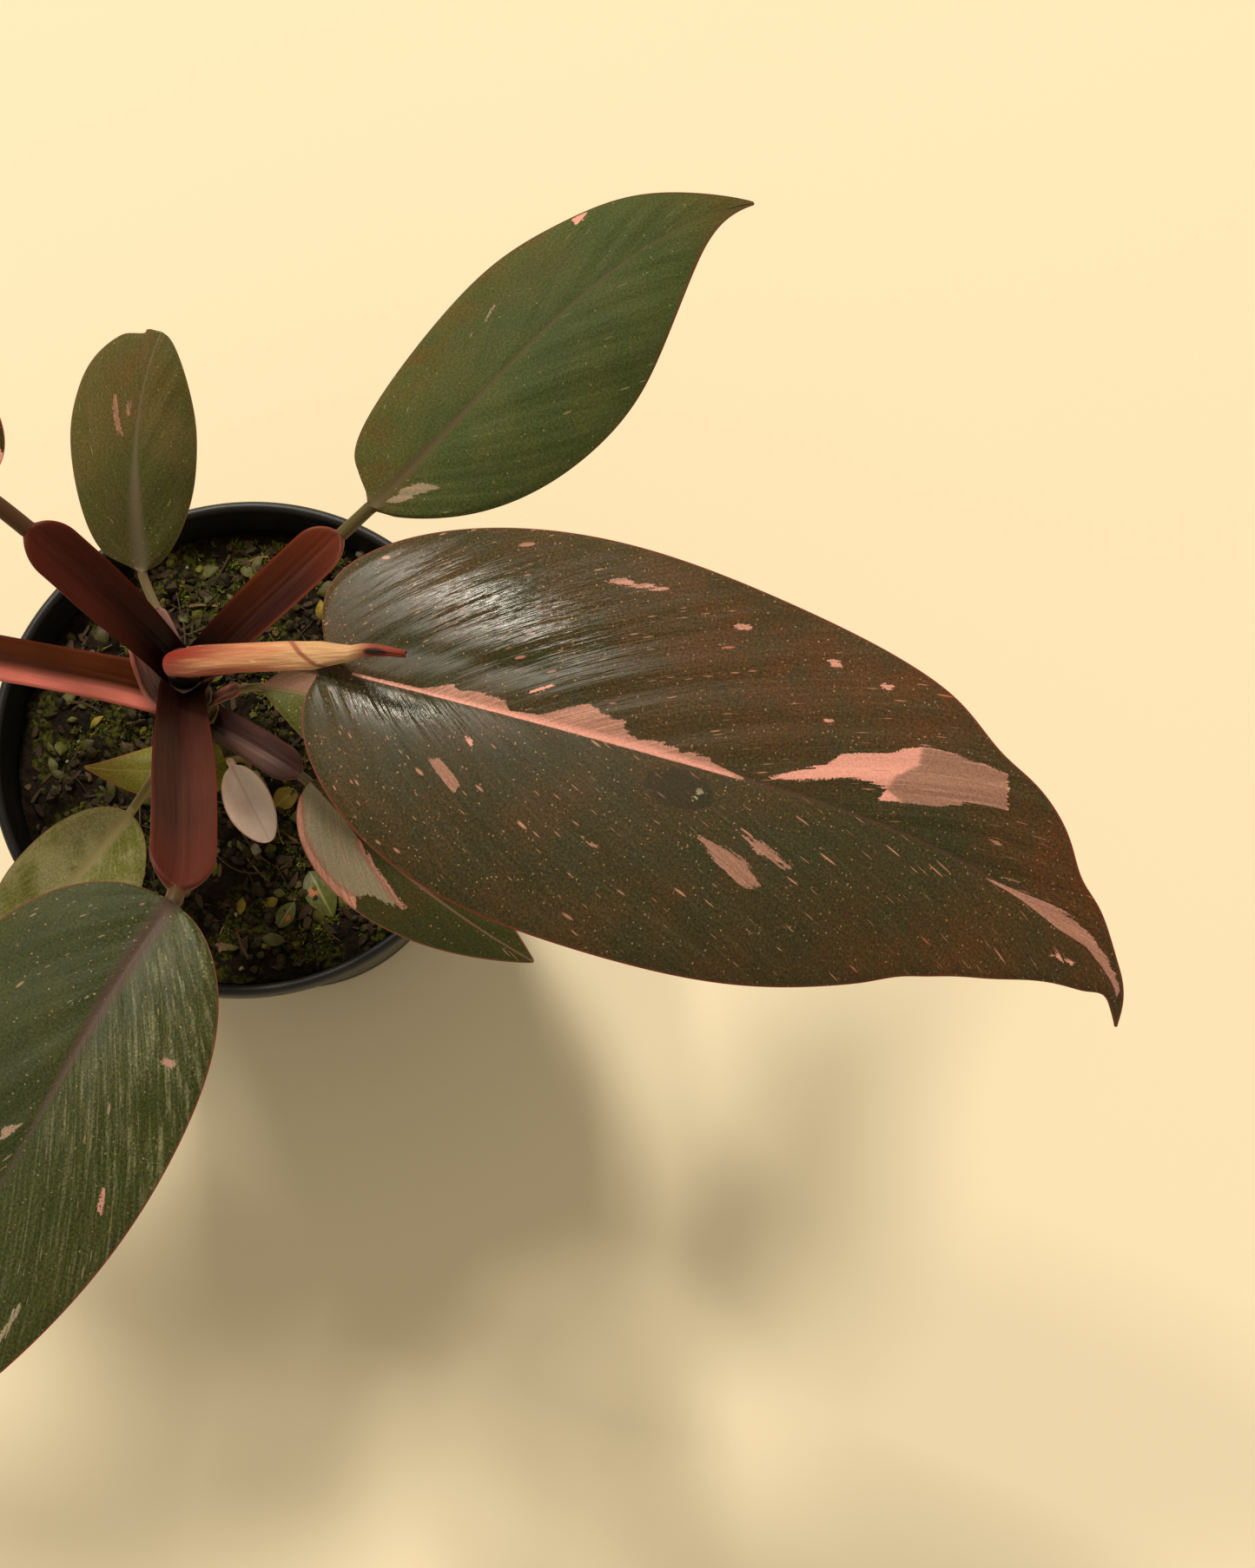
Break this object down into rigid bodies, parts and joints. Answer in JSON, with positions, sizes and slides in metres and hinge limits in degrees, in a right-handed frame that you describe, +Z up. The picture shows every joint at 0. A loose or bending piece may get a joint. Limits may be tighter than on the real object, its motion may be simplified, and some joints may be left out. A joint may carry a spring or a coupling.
{
  "type": "potted pink princess philodendron",
  "caption": "Young philodendron with dark glossy leaves splashed with pink, winged leaf stalks and a dry peach sheath, growing in a thin round black nursery pot.",
  "frame": {"origin": "middle of the flat underside of the pot", "axes": "+Z up, +X towards the right and +Y towards the top of the picture, which looks down on the plant"},
  "size_m": [0.3569, 0.2652, 0.2464],
  "materials": {
    "black_plastic": "satin black, thin moulded plastic",
    "soil": "moist dark potting mix of bark and peat with moss",
    "stem_skin": "smooth green-brown stem skin",
    "shoot_skin": "smooth pale green shoot skin",
    "dark_leaf": "glossy dark olive leaf with pink patches, flecks and a red margin",
    "green_leaf": "satin olive green leaf",
    "pale_leaf": "satin cream-streaked olive leaf",
    "pink_leaf": "soft pale pink leaf",
    "dry_sheath": "dry papery peach skin, red at its root",
    "young_sheath": "soft mauve skin with a pink tip"
  },
  "bodies": {
    "root": {"pot": "black_plastic", "soil": "soil", "stem": "stem_skin", "side_shoot": "shoot_skin", "leaf_right_large": "dark_leaf", "leaf_front_large": "dark_leaf", "leaf_back_right": "dark_leaf", "leaf_back_left_large": "dark_leaf", "leaf_left_large": "dark_leaf", "leaf_back_small": "green_leaf", "leaf_front_left_pale": "pale_leaf", "leaf_lower_right": "green_leaf", "leaf_inner_right": "green_leaf", "leaf_pale_tiny": "pink_leaf", "leaf_green_tiny": "green_leaf", "dry_sheath_peach": "dry_sheath", "young_sheath_left": "young_sheath"}
  },
  "joints": []
}
